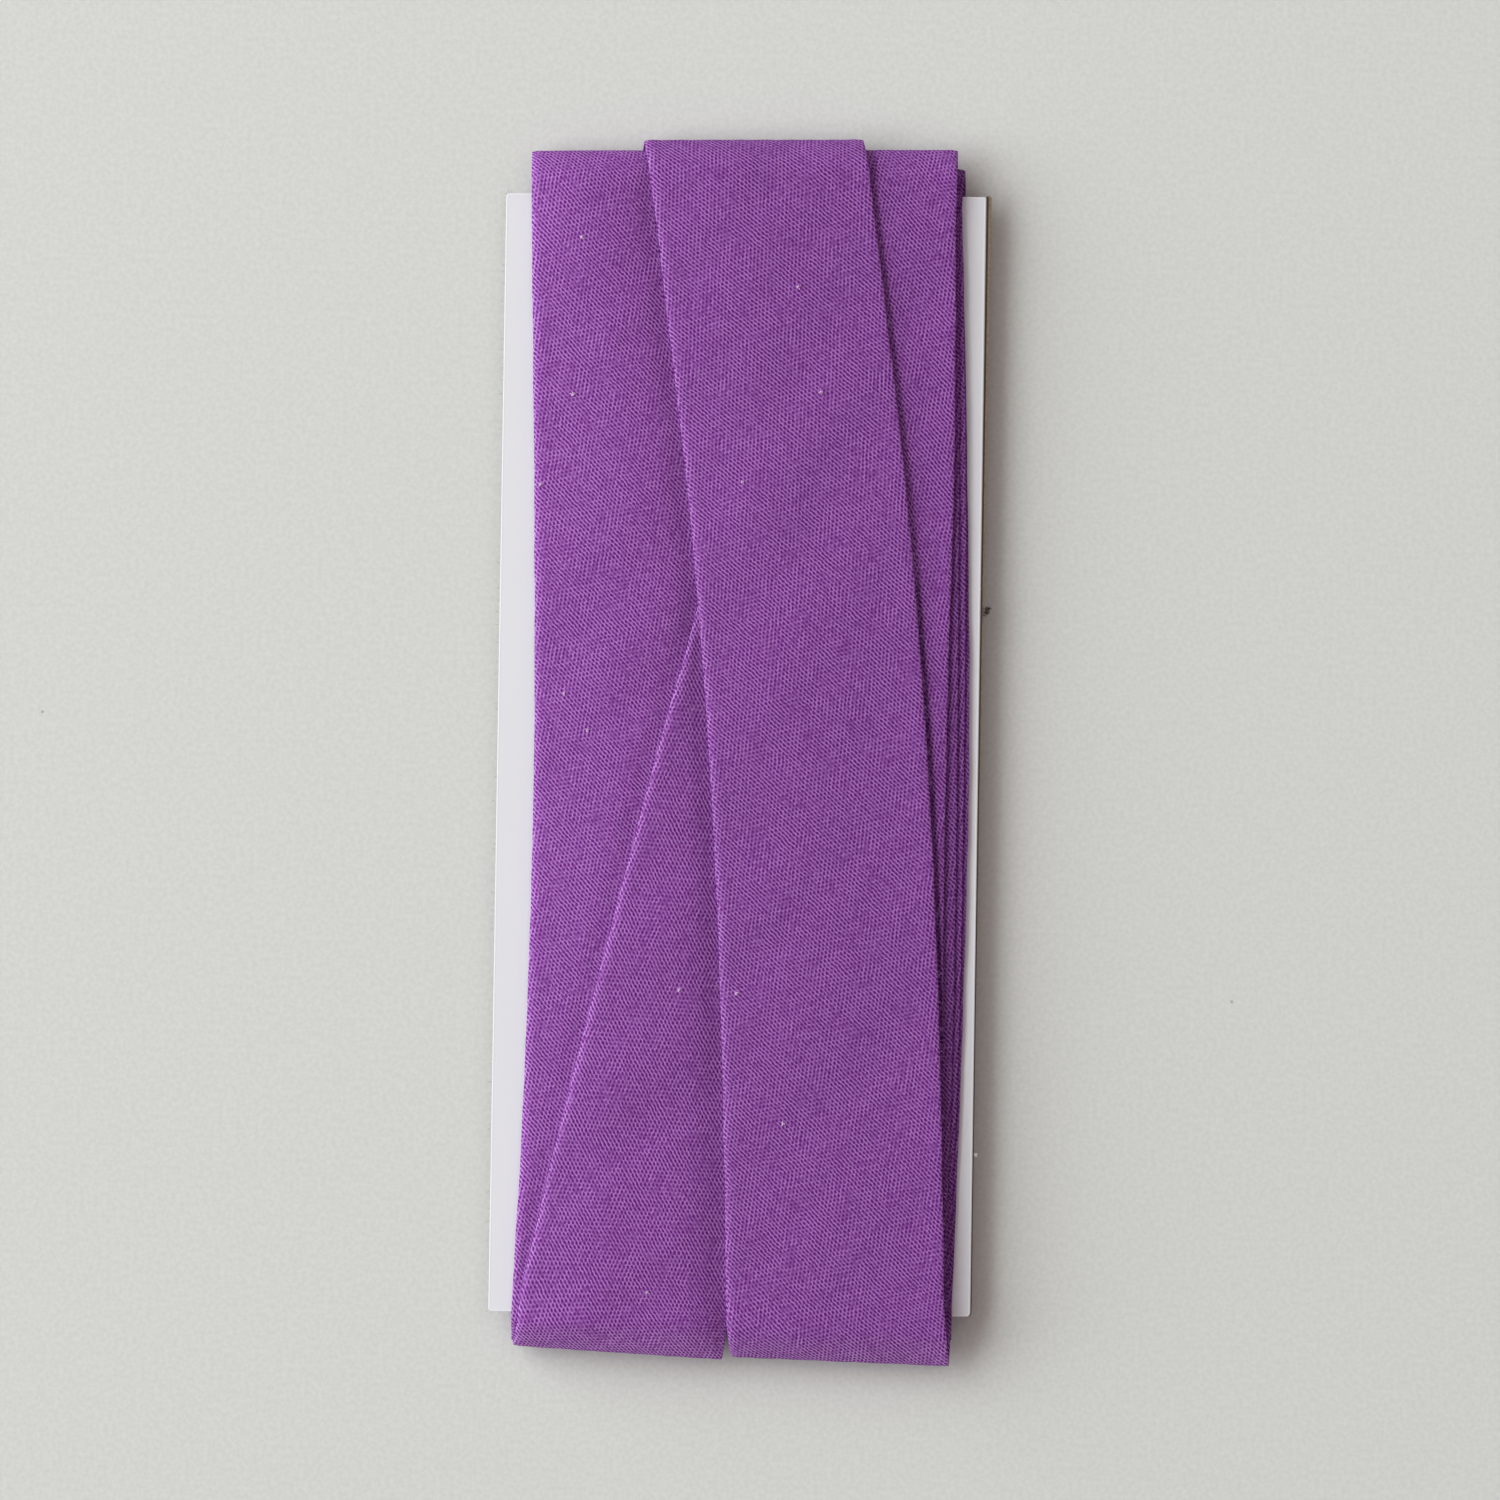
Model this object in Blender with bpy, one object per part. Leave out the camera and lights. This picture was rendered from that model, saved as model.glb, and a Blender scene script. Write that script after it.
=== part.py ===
# Bias binding wound flat on a board card, lying on its back.
# Metres, +Z up out of the front face, +Y along the card towards its top end.
# The origin is under the middle of the whole, on the plane that it rests on.

import math

import bmesh
import bpy

MM = 0.001

# Driving dimensions
BINDING_WIDTH = 25.0 * MM
LAYER = 0.42 * MM           # one turn of the folded binding, two plies of cloth
BACK_TURNS = 6              # turns pressed between the card and the back face
CARD_WIDTH = 55.6 * MM
CARD_LENGTH = 128.9 * MM
CARD_THICKNESS = 0.8 * MM
CARD_CORNER = 0.5 * MM
CORNER_STEPS = 4
GAP = 0.3 * MM              # air that the card keeps to the cloth around it

# Levels above the plane that the back rests on
LANE_BACK = LAYER
CARD_BACK = LAYER * (1 + BACK_TURNS)
CARD_FRONT = CARD_BACK + CARD_THICKNESS
CARD_MIDDLE = (CARD_BACK + CARD_FRONT) / 2
SLOT_HALF = CARD_THICKNESS / 2 + GAP

# The ends, where the binding turns round the card
BEND_DEPTH = 3.3 * MM       # how far back from its crest a turn starts to curl
BEND_STEPS = 12

# The tail, the last length of the binding, which lies down the back
TAIL_END = -56.0 * MM
TAIL_CUT = 0.1 * MM         # half of the length over which its cut end drops

EDGE_ROOM = 0.3 * MM        # least distance between two neighbouring edges
FLAP = 0.5 * MM             # what shows of the cross turn's corner by the last turn

# Middle lines of the turns that show on the front, in millimetres from the card's
# own, a row for each station along the card. The lane is the left half's top turn,
# the cross turn passes from the left half to the right, the prior and last turns
# lie over it, and three more stand out under those at the right.
TURN_NAMES = (
    "along", "lane", "cross", "last", "prior", "under_1", "under_2", "under_3",
)
FRONT_ROWS = (
    (64, -12.3, 11.6, 1.9, 11.6, 11.9, 12.3, 12.6),
    (48, -11.9, 11.5, 4.0, 11.7, 12.1, 12.7, 13.0),
    (32, -11.5, 10.3, 6.1, 11.8, 12.4, 13.2, 13.5),
    (16, -11.2, 7.6, 7.8, 11.6, 12.6, 13.5, 13.9),
    (0, -11.0, 3.5, 9.2, 11.5, 12.7, 13.5, 14.1),
    (-16, -11.1, -0.4, 10.3, 11.4, 12.7, 13.5, 14.0),
    (-32, -11.4, -4.3, 11.1, 11.5, 12.7, 13.4, 13.8),
    (-48, -11.9, -8.1, 11.7, 11.6, 12.3, 12.9, 13.3),
    (-64, -12.6, -11.8, 12.2, 11.6, 12.1, 12.5, 13.1),
)

# The same on the back, between its two ends, where the last turn is the tail
BACK_ROWS = (
    (-56, -12.1, -5.5, 0.6, 11.6, 12.2, 12.7, 13.1),
    (-16, -11.8, -4.5, 1.0, 11.5, 12.0, 12.6, 13.2),
    (24, -11.9, -3.5, 1.3, 11.7, 12.1, 12.5, 13.0),
)

# Turns stacked on the card's front at each surface, itself included, at the stations
# of FRONT_ROWS. Beside is what lies along the left edge of the last turn.
SURFACE_NAMES = (
    "lane", "cross", "beside", "last_left", "last_middle", "last_right",
    "prior", "under_1", "under_2", "under_3",
)
STACK_ROWS = (
    (4.0, 4.0, 4.0, 5.0, 6.6, 7.0, 6.0, 4.0, 3.0, 2.0),
    (4.0, 4.0, 4.0, 5.1, 6.8, 7.0, 6.0, 4.0, 3.0, 2.0),
    (4.0, 4.0, 4.2, 5.3, 6.9, 7.0, 6.0, 4.0, 3.0, 2.0),
    (3.8, 4.6, 4.8, 5.8, 7.0, 7.0, 6.0, 4.0, 3.0, 2.0),
    (3.6, 4.6, 5.0, 6.2, 7.0, 7.0, 6.0, 4.0, 3.0, 2.0),
    (3.2, 4.2, 4.8, 6.4, 7.0, 7.0, 6.0, 4.0, 3.0, 2.0),
    (3.0, 4.0, 4.5, 6.6, 7.0, 7.0, 6.0, 4.0, 3.0, 2.0),
    (3.0, 4.0, 4.3, 6.8, 7.0, 7.0, 5.5, 4.5, 3.0, 2.0),
    (3.0, 4.0, 4.2, 7.0, 7.0, 7.0, 5.5, 4.5, 3.0, 2.0),
)

# For each surface, the turns that lie over it on the back, and how far from the
# card's middle it reaches past the top end and the bottom end, in millimetres
SURFACES = {
    "lane": (0.0, 69.3, 68.1),
    "cross": (0.0, 69.4, 68.6),
    "beside": (0.0, 69.5, 69.8),
    "notch": (0.0, 69.5, 68.0),
    "last_left": (0.0, 70.8, 69.5),
    "last_middle": (0.0, 70.9, 69.8),
    "last_right": (0.0, 71.0, 70.1),
    "prior": (0.0, 70.0, 69.6),
    "under_1": (1.5, 67.9, 69.5),
    "under_2": (3.0, 67.9, 69.4),
    "under_3": (4.0, 67.8, 69.3),
}

# Columns of points across the binding, left to right: the edge that each follows,
# its distance beside that edge in millimetres, the surface that it lies on, and how
# much of a layer it sinks where a folded edge rounds over
COLUMNS = (
    ("lane", 0.0, "lane", 0.6),
    ("lane", 0.22, "lane", 0.0),
    ("cross", -0.03, "lane", 0.0),
    ("cross", 0.0, "cross", 0.5),
    ("cross", 0.2, "cross", 0.0),
    ("flap", 0.0, "beside", 0.0),
    ("last_left", -0.04, "notch", 0.0),
    ("last_left", 0.0, "last_left", 0.5),
    ("last_left", 0.2, "last_left", 0.0),
    ("last_middle", 0.0, "last_middle", 0.0),
    ("last_right", -0.2, "last_right", 0.0),
    ("last_right", 0.0, "last_right", 0.5),
    ("last_right", 0.04, "prior", 0.0),
    ("prior", -0.18, "prior", 0.0),
    ("prior", 0.0, "prior", 0.5),
    ("prior", 0.04, "under_1", 0.0),
    ("under_1", -0.18, "under_1", 0.0),
    ("under_1", 0.0, "under_1", 0.5),
    ("under_1", 0.04, "under_2", 0.0),
    ("under_2", -0.18, "under_2", 0.0),
    ("under_2", 0.0, "under_2", 0.5),
    ("under_2", 0.04, "under_3", 0.0),
    ("under_3", -0.18, "under_3", 0.0),
    ("under_3", 0.0, "under_3", 0.6),
)

TOP_REACH = max(top for turns, top, bottom in SURFACES.values()) * MM
BOTTOM_REACH = max(bottom for turns, top, bottom in SURFACES.values()) * MM
CARD_PLACE_Y = (BOTTOM_REACH - TOP_REACH) / 2


def read_stations(rows):
    """The stations of a table, with the edges of each turn worked out."""
    named = [
        {name: value * MM for name, value in zip(TURN_NAMES, row)} for row in rows
    ]
    stations = []
    for index, middle in enumerate(named):
        before = named[max(index - 1, 0)]
        after = named[min(index + 1, len(named) - 1)]
        run = after["along"] - before["along"]
        half = {
            name: BINDING_WIDTH / 2 * math.hypot(1, (after[name] - before[name]) / run)
            for name in TURN_NAMES[1:]
        }
        stations.append(spread_edges(middle, half))
    return stations


def spread_edges(middle, half):
    """The edges that show at one station, each kept clear of its neighbour."""
    edges = {
        "along": middle["along"],
        "lane": middle["lane"] - half["lane"],
        "cross": middle["cross"] - half["cross"],
        "last_left": middle["last"] - half["last"],
        "last_middle": middle["last"],
        "last_right": middle["last"] + half["last"],
    }
    edges["flap"] = edges["last_left"] - FLAP
    lowest = edges["lane"] + EDGE_ROOM
    highest = edges["flap"] - EDGE_ROOM
    edges["cross"] = min(max(edges["cross"], lowest), highest)
    inner = edges["last_right"]
    for name in ("prior", "under_1", "under_2", "under_3"):
        edges[name] = max(middle[name] + half[name], inner + EDGE_ROOM)
        inner = edges[name]
    return edges


def front_row(edges, stack):
    """A row of points across the front, as high as the turns stacked there."""
    turns = dict(zip(SURFACE_NAMES, stack))
    turns["notch"] = turns["beside"]
    return [
        (
            edges[edge] + aside * MM,
            edges["along"],
            CARD_FRONT + (turns[surface] - sunk) * LAYER,
        )
        for edge, aside, surface, sunk in COLUMNS
    ]


def back_row(edges, along, tail):
    """A row of points across the back, with the tail a layer below the rest."""
    row = []
    for edge, aside, surface, sunk in COLUMNS:
        if tail and surface.startswith("last"):
            level = sunk * LAYER
        else:
            level = LANE_BACK + SURFACES[surface][0] * LAYER
        row.append((edges[edge] + aside * MM, along, level))
    return row


def bend_rows(start, finish, end):
    """Rows of points round an end of the card: end is 1 at the top, -1 below."""
    reach_at = 1 if end > 0 else 2
    rows = []
    for step in range(BEND_STEPS + 1):
        turn = math.pi * step / BEND_STEPS
        blend = (1 - math.cos(turn)) / 2
        row = []
        for here, there, column in zip(start, finish, COLUMNS):
            surface, sunk = column[2:]
            reach = SURFACES[surface][reach_at] * MM - sunk * LAYER / 2
            row.append((
                here[0] + (there[0] - here[0]) * blend,
                end * (reach - BEND_DEPTH * (1 - math.sin(turn))),
                here[2] + (there[2] - here[2]) * blend,
            ))
        rows.append(row)
    return rows


def slot_bend(end, side):
    """Places round an end of the slot, from the face that side names to the other."""
    places = []
    for step in range(BEND_STEPS + 1):
        turn = math.pi * step / BEND_STEPS
        places.append((
            end * (CARD_LENGTH / 2 + SLOT_HALF * math.sin(turn)),
            CARD_MIDDLE + side * SLOT_HALF * math.cos(turn),
        ))
    return places


def band_rows():
    """Rows of points round the whole band, and the slot's place inside each."""
    front_stations = read_stations(FRONT_ROWS)
    back_stations = read_stations(BACK_ROWS)
    front = [front_row(*pair) for pair in zip(front_stations, STACK_ROWS)]
    bottom_station = front_stations[-1]
    top_station = front_stations[0]
    back = [
        back_row(bottom_station, bottom_station["along"], False),
        back_row(back_stations[0], TAIL_END - TAIL_CUT, False),
        back_row(back_stations[0], TAIL_END + TAIL_CUT, True),
    ]
    back += [back_row(edges, edges["along"], True) for edges in back_stations[1:]]
    back.append(back_row(top_station, top_station["along"], True))
    bottom = bend_rows(front[-1], back[0], -1)
    top = bend_rows(back[-1], front[0], 1)
    slot = [(row[0][1], CARD_MIDDLE + SLOT_HALF) for row in front]
    slot += slot_bend(-1, 1)
    slot += [(row[0][1], CARD_MIDDLE - SLOT_HALF) for row in back]
    slot += slot_bend(1, -1)
    return front + bottom + back + top, slot


def finish_object(name, shape, collection, material):
    """Turn a finished shape into an object of its own in the collection."""
    bmesh.ops.translate(shape, verts=shape.verts, vec=(0, CARD_PLACE_Y, 0))
    bmesh.ops.recalc_face_normals(shape, faces=shape.faces)
    mesh = bpy.data.meshes.new(name)
    shape.to_mesh(mesh)
    shape.free()
    mesh.materials.append(material)
    collection.objects.link(bpy.data.objects.new(name, mesh))


def plain_material(name, colour, roughness):
    """A plain material with one colour and roughness."""
    material = bpy.data.materials.new(name)
    material.use_nodes = True
    shader = material.node_tree.nodes["Principled BSDF"]
    shader.inputs["Base Color"].default_value = (*colour, 1.0)
    shader.inputs["Roughness"].default_value = roughness
    shader.inputs["Metallic"].default_value = 0.0
    return material


def make_binding(collection):
    """The wound binding: one closed band, lofted row by row round the card."""
    rows, slot = band_rows()
    shape = bmesh.new()
    outer = [[shape.verts.new(point) for point in row] for row in rows]
    inner = [
        [shape.verts.new((row[side][0], *place)) for side in (0, -1)]
        for row, place in zip(rows, slot)
    ]
    for index, here in enumerate(outer):
        following = (index + 1) % len(outer)
        there = outer[following]
        for column in range(len(COLUMNS) - 1):
            shape.faces.new((
                here[column], here[column + 1], there[column + 1], there[column],
            ))
        left, right = inner[index]
        next_left, next_right = inner[following]
        shape.faces.new((right, left, next_left, next_right))
        shape.faces.new((left, here[0], there[0], next_left))
        shape.faces.new((here[-1], right, next_right, there[-1]))
    material = plain_material("purple cotton", (0.23, 0.075, 0.30), 0.85)
    finish_object("binding", shape, collection, material)


def make_card(collection):
    """The board that the binding is wound on, with its corners eased."""
    shape = bmesh.new()
    outline = []
    for quarter, (side_x, side_y) in enumerate(((1, 1), (-1, 1), (-1, -1), (1, -1))):
        centre_x = side_x * (CARD_WIDTH / 2 - CARD_CORNER)
        centre_y = side_y * (CARD_LENGTH / 2 - CARD_CORNER)
        for step in range(CORNER_STEPS + 1):
            turn = math.pi / 2 * (quarter + step / CORNER_STEPS)
            outline.append(shape.verts.new((
                centre_x + CARD_CORNER * math.cos(turn),
                centre_y + CARD_CORNER * math.sin(turn),
                CARD_BACK,
            )))
    raised = bmesh.ops.extrude_face_region(shape, geom=[shape.faces.new(outline)])
    lifted = [item for item in raised["geom"] if isinstance(item, bmesh.types.BMVert)]
    bmesh.ops.translate(shape, verts=lifted, vec=(0, 0, CARD_THICKNESS))
    material = plain_material("white lined board", (0.75, 0.75, 0.78), 0.6)
    finish_object("card", shape, collection, material)


def main():
    for old in list(bpy.data.objects):
        bpy.data.objects.remove(old, do_unlink=True)
    collection = bpy.data.collections.new("bias_binding_on_card")
    bpy.context.scene.collection.children.link(collection)
    make_card(collection)
    make_binding(collection)


main()
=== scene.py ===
# Bias binding wound flat on its card, seen from straight above in a soft studio.
# The script's own unit is the millimetre. Points turn into metres as meshes are made.
import math
import bpy
import numpy as np
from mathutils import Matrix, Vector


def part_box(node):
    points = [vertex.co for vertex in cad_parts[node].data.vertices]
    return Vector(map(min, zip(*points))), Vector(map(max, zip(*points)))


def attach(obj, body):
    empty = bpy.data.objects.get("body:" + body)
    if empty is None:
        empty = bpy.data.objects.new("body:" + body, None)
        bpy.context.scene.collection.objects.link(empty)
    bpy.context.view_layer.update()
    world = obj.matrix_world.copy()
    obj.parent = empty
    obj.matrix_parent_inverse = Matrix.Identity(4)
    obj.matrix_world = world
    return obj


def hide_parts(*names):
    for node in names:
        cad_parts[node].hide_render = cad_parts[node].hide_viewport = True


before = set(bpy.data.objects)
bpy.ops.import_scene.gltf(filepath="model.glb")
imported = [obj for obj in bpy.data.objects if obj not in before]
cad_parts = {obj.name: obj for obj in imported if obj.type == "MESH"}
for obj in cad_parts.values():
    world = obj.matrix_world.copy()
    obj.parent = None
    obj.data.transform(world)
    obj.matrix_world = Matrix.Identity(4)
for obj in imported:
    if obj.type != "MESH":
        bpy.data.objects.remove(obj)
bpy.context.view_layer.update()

mm = 0.001
cardLow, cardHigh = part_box("card")
cardFace = cardHigh[2] / mm            # heights of the board's two faces
cardBack = cardLow[2] / mm
cardHalf = (cardHigh[1] - cardLow[1]) / 2 / mm
cardPlace = (cardHigh[1] + cardLow[1]) / 2 / mm   # how far the board's middle is along Y


# Shader and geometry graphs, written as expressions

class Graph:
    def __init__(self, tree):
        self.tree = tree

    def node(self, kind, settings=None, values=None, out=0):
        # settings are set first, then each socket gets its value or its link
        made = self.tree.nodes.new(kind)
        for name, value in (settings or {}).items():
            setattr(made, name, value)
        for name, value in (values or {}).items():
            if isinstance(value, Wire):
                self.tree.links.new(value.socket, made.inputs[name])
            else:
                made.inputs[name].default_value = value
        return Wire(self, made.outputs[out])


class Wire:
    # one output socket, which can be used in a sum like a number
    def __init__(self, graph, socket):
        self.graph = graph
        self.socket = socket

    def maths(self, operation, first, *others):
        values = dict(enumerate((first, *others)))
        return self.graph.node("ShaderNodeMath", {"operation": operation}, values)

    def other(self, name):
        return Wire(self.graph, self.socket.node.outputs[name])

    def cosine(self):
        return self.maths("COSINE", self)

    def floor(self):
        return self.maths("FLOOR", self)

    def clamp(self, low, high):
        return self.maths("MINIMUM", self.maths("MAXIMUM", self, low), high)

    def rise(self, low, high):
        # 0 below low, 1 above high, and smooth between
        return self.graph.node(
            "ShaderNodeMapRange", {"interpolation_type": "SMOOTHSTEP"},
            {"Value": self, "From Min": low, "From Max": high},
        )

    def blend(self, low, high):
        # low where this is 0, high where it is 1
        return low + (high - low) * self


def operator(operation, turned):
    # the method for a sum with the wire on its left or, where it is turned, on its right
    def apply(wire, value):
        return wire.maths(operation, *((value, wire) if turned else (wire, value)))
    return apply


for name, operation in (
    ("add", "ADD"), ("sub", "SUBTRACT"), ("mul", "MULTIPLY"), ("truediv", "DIVIDE"),
    ("pow", "POWER"),
):
    setattr(Wire, f"__{name}__", operator(operation, False))
    setattr(Wire, f"__r{name}__", operator(operation, True))


def mixColour(graph, factor, low, high, kind="MIX"):
    full = [v if isinstance(v, Wire) else (*v, 1.0) for v in (low, high)]
    return graph.node(
        "ShaderNodeMix", {"data_type": "RGBA", "blend_type": kind},
        {0: factor, 6: full[0], 7: full[1]}, out=2,
    )


def noise(graph, place, scale, detail, kind="3D", out=0):
    return graph.node("ShaderNodeTexNoise", {"noise_dimensions": kind}, {
        "Vector": place, "Scale": scale, "Detail": detail,
    }, out)


def flatNoise(graph, x, y, detail):
    # soft noise about 0 on a flat pattern
    return noise(graph, flatPlace(graph, x, y), 1.0, detail, "2D") - 0.5


def flatPlace(graph, x, y):
    return graph.node("ShaderNodeCombineXYZ", None, {0: x, 1: y})


def scaled(graph, vector, factor):
    values = {0: vector, "Scale": factor}
    return graph.node("ShaderNodeVectorMath", {"operation": "SCALE"}, values)


def newMaterial(name, fixed):
    # a Principled material; fixed holds what is the same all over the surface
    material = bpy.data.materials.new(name)
    material.use_nodes = True
    shader = material.node_tree.nodes["Principled BSDF"]
    for socket, value in fixed.items():
        shader.inputs[socket].default_value = value
    return material, Graph(material.node_tree), shader


def plug(graph, shader, **wires):
    for name, wire in wires.items():
        socket = shader.inputs[name.replace("_", " ")]
        graph.tree.links.new(wire.socket, socket)


def newTree(name, sizes):
    # an empty Geometry Nodes tree with an input for each size
    tree = bpy.data.node_groups.new(name, "GeometryNodeTree")
    tree.interface.new_socket("Geometry", in_out="OUTPUT", socket_type="NodeSocketGeometry")
    tree.interface.new_socket("Geometry", in_out="INPUT", socket_type="NodeSocketGeometry")
    for socket, kind in sizes.items():
        tree.interface.new_socket(socket, in_out="INPUT", socket_type="NodeSocket" + kind)
    start = tree.nodes.new("NodeGroupInput")
    graph = Graph(tree)
    return graph, {out.name: Wire(graph, out) for out in start.outputs if out.name}


def addObject(name, data):
    made = bpy.data.objects.new(name, data)
    bpy.context.scene.collection.objects.link(made)
    return made


def growPiece(piece, tree, sizes):
    # runs the tree on the piece's own mesh and keeps the result as a plain mesh
    grown = piece.modifiers.new("grow", "NODES")
    grown.node_group = tree
    for socket in tree.interface.items_tree:
        if socket.in_out == "INPUT" and socket.name in sizes:
            grown[socket.identifier] = sizes[socket.name]
    bpy.context.view_layer.update()
    seen = piece.evaluated_get(bpy.context.evaluated_depsgraph_get())
    mesh = bpy.data.meshes.new_from_object(seen)
    piece.modifiers.clear()
    piece.data = mesh
    mesh.name = piece.name
    print(f"{piece.name}: {len(mesh.polygons)} faces")


def stored(graph, name, kind="FLOAT"):
    node = "GeometryNodeInputNamedAttribute"
    return graph.node(node, {"data_type": kind}, {"Name": name})


def endTree(graph, geometry, material):
    geometry = graph.node("GeometryNodeRealizeInstances", None, {"Geometry": geometry})
    geometry = graph.node("GeometryNodeSetMaterial", None, {
        "Geometry": geometry, "Material": material,
    })
    end = graph.tree.nodes.new("NodeGroupOutput")
    graph.tree.links.new(geometry.socket, end.inputs[0])
    return graph.tree


# The cloth

cloth = {
    "threadPitch": (0.389, 0.276),     # across the stout threads and the fine ones
    "threadLean": (47.5, 133.0),       # their normals, in degrees from the strip's run
    "threadColour": (0.377, 0.162, 0.488),
    # the gaps between threads are coloured darker as painted shadow
    "gapShadowColour": (0.119, 0.009, 0.176),
    "wander": 0.55,                    # how far a thread strays, in threads
    "wanderScale": (0.25, 0.3),        # how fast, over the threads and along one
    "ribs": 0.172,                     # how light and dark the stout threads make it
    "slants": (0.105, 0.075),          # and the two slants on which threads cross
    "slantShift": 0.4,
    "swellScale": 330.0,               # patches where ribs or slants stand out
    "swell": (-0.2, 2.2),              # how much they do, least and most
    "contrast": 3.7,
    "crossings": 1.3,                  # stronger and weaker crossings of the threads
    "grit": 0.38,                      # lighter and darker crossings
    "lightRange": (0.05, 1.65),        # least and most light on a thread
    "gapShadowCurve": 2.2,                   # how fast the painted shadow darkens into the gaps
    "bars": 0.19,                      # wide bands of lighter and darker fine threads
    "barScale": (0.05, 0.004),         # across them and along them
    "mottle": (160.0, 0.05),           # scale and strength of the faint clouds
    "bumpHeight": 0.03 * mm,
    "foldHighlightAndWear": 0.42,                  # painted highlight along each left fold, where the key light catches it, with some colour rubbed off there too
    "foldHighlightReach": 0.42,
    "crestPaintedLight": (0.80, 0.06),         # painted light where the strip goes round each end, bottom and top: the bottom is lightened most, as it faces away from the key light
    "highlightAndWearTint": (1.60, 2.10, 1.55),    # what the painted light and rubbing do to the colour
}


def makeCloth(name, paintedBrightness):
    material, graph, shader = newMaterial(name, {
        "Roughness": 0.82,
        "Specular IOR Level": 0.12,
        "Sheen Weight": 0.03,
        "Sheen Roughness": 0.45,
        "Sheen Tint": (0.85, 0.45, 1.0, 1.0),
    })
    uv = graph.node("ShaderNodeUVMap", {"uv_map": "strip"})
    split = graph.node("ShaderNodeSeparateXYZ", None, {0: uv})
    across = split * (1 / mm)
    along = split.other("Y") * (1 / mm)
    straight = []
    for pitch, lean in zip(cloth["threadPitch"], cloth["threadLean"]):
        slant = math.radians(lean)
        straight.append(across * (math.sin(slant) / pitch) + along * (math.cos(slant) / pitch))
    index = []
    for thread, other in (straight, straight[::-1]):
        fast, slow = cloth["wanderScale"]
        stray = flatNoise(graph, thread * fast + 7.0 * len(index), other * slow, 1.0)
        index.append(thread + stray * cloth["wander"])
    stout, fine = index

    # seen from a little way off, a plain weave is ribs and two slants of crossings
    swell = noise(graph, uv, cloth["swellScale"], 1.0, "2D", out=1)
    swell = graph.node("ShaderNodeSeparateColor", None, {0: swell})
    chance = graph.node("ShaderNodeTexWhiteNoise", {"noise_dimensions": "2D"}, {
        "Vector": flatPlace(graph, (stout + 0.5).floor(), (fine + 0.5).floor()),
    }, out=1)
    chance = graph.node("ShaderNodeSeparateColor", None, {0: chance})
    strong, weak = cloth["slants"]
    ribs = (stout * (2 * math.pi)).cosine() * swell.blend(*cloth["swell"]) * cloth["ribs"]
    slant = ((stout + fine) * math.pi).cosine()
    slant = slant * swell.other("Green").blend(*cloth["swell"]) * strong
    slant = slant + ((stout - fine) * math.pi + cloth["slantShift"]).cosine() * weak
    weave = (ribs + slant) * (1.0 + (chance - 0.5) * cloth["crossings"])
    fast, slow = cloth["barScale"]
    bars = flatNoise(graph, fine * fast, stout * slow, 2.0)
    # the weave's relief is painted into the colour: lighter thread tops, painted shadow in the
    # gaps between threads
    light = 1.0 - weave * cloth["contrast"] + (chance.other("Green") - 0.5) * cloth["grit"]
    low, high = cloth["lightRange"]
    litThread = (light.clamp(low, high) / high) ** cloth["gapShadowCurve"]

    scale, strength = cloth["mottle"]
    mottle = noise(graph, uv, scale, 3.0, "2D") - 0.5
    tone = bars * cloth["bars"] + mottle * strength
    # painted highlight along the left folds and painted light round the ends, partly rubbed
    # colour, lighten the cloth
    paintedLightAndWear = graph.node("ShaderNodeAttribute", {"attribute_name": "highlightAndWear"}, out=2)
    colour = mixColour(graph, litThread, cloth["gapShadowColour"], cloth["threadColour"])
    colour = mixColour(graph, paintedLightAndWear, colour, cloth["highlightAndWearTint"], "MULTIPLY")
    # each length is lightened or darkened as a whole: painted light on the lane, painted
    # shadow on the turns under
    colour = scaled(graph, colour, (tone + 1.0) * paintedBrightness)
    bump = graph.node("ShaderNodeBump", None, {
        "Strength": 0.8, "Distance": cloth["bumpHeight"], "Height": light,
    })
    plug(graph, shader, Base_Color=colour, Normal=bump)
    return material


# The board

card = {
    # the corners as seen from the front, each with how round it is
    "corners": (
        (27.52, 64.64, 0.2), (-27.71, 64.23, 0.5), (-27.77, -64.58, 0.5), (27.70, -64.35, 0.5),
    ),
    "outlineStep": 0.7,
    "liner": 0.05,                     # thickness of the white face
    "burr": 0.014,                     # how far its cut edge stands up
    "dark": 0.13,                      # of the ply under it, down from the face; it is painted dark as the shadow under the white face's edge
    "darkLean": (0.18, 0.30),          # how far it leans out of the right side, low and high
    "coreLean": 0.34,                  # and how far the core does past it, high up
    "leanFrom": (-30, 90),             # where up the side that starts, and over how far
    "ragged": 0.06,
    "faceColour": (0.760, 0.776, 0.815),
    "cloudColour": (0.745, 0.760, 0.800),
    "burrHighlightColour": (0.86, 0.87, 0.90),
    "paintedShadowColour": (0.060, 0.050, 0.040),
    "coreColours": ((0.33, 0.25, 0.17), (0.50, 0.40, 0.29)),
    "backColours": ((0.47, 0.43, 0.37), (0.56, 0.52, 0.46)),
    "fibreScale": 2600.0,
    "cloudScale": 90.0,
}


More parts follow.
